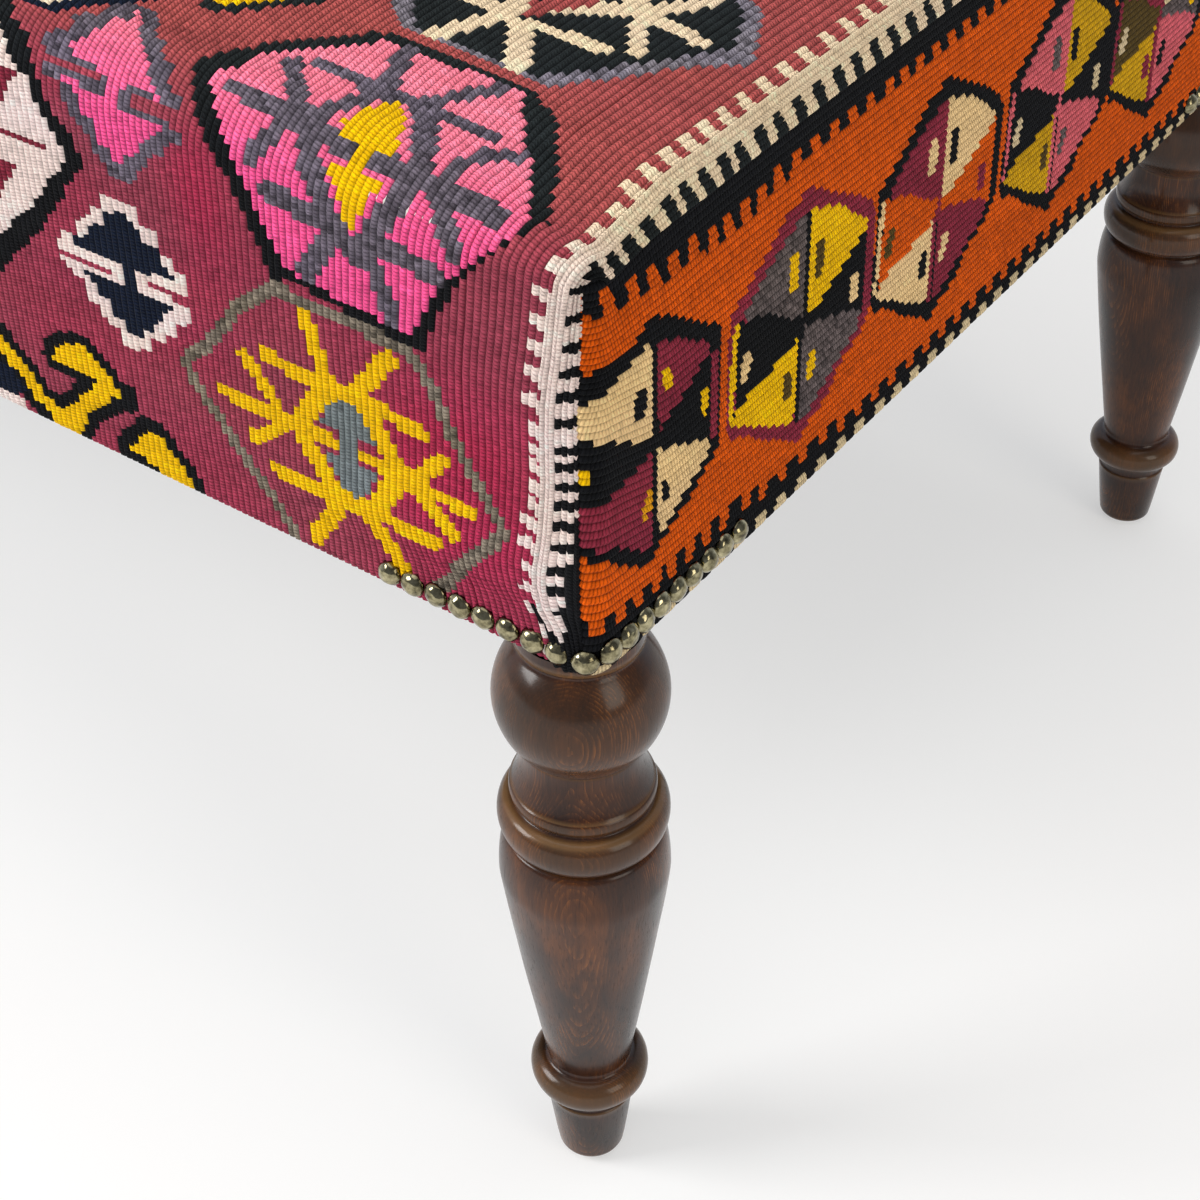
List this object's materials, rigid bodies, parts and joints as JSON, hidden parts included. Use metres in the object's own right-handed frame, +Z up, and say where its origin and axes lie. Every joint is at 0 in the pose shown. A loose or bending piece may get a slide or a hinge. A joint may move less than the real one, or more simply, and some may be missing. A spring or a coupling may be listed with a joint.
{
  "type": "kilim bench",
  "caption": "Upholstered bench covered with a patterned flat-woven kilim, on turned dark walnut legs, with antique domed nails at its corners.",
  "frame": {"origin": "on the floor, under the middle of the seat", "axes": "+X along the bench to its right end, +Y from the front to the back, +Z up"},
  "size_m": [1.2156, 0.5856, 0.4777],
  "materials": {
    "leg_walnut": "satin",
    "frame_pine": "matte",
    "steel": "satin",
    "pad_felt": "matte",
    "plywood": "matte",
    "foam": "matte",
    "wadding": "matte",
    "kilim": "matte",
    "dust_cloth": "matte",
    "nail_brass": "satin"
  },
  "bodies": {
    "root": {"leg_front_left": "leg_walnut", "leg_front_right": "leg_walnut", "leg_back_left": "leg_walnut", "leg_back_right": "leg_walnut", "post_front_left": "frame_pine", "post_front_right": "frame_pine", "post_back_left": "frame_pine", "post_back_right": "frame_pine", "leg_screws": "steel", "foot_pads": "pad_felt", "rail_front": "frame_pine", "rail_back": "frame_pine", "rail_left": "frame_pine", "rail_right": "frame_pine", "cross_rail_left": "frame_pine", "cross_rail_right": "frame_pine", "seat_deck": "plywood", "deck_staples": "steel", "foam_slab": "foam", "wadding": "wadding", "kilim_cover": "kilim", "dust_cover": "dust_cloth", "dome_nails": "nail_brass"}
  },
  "joints": []
}
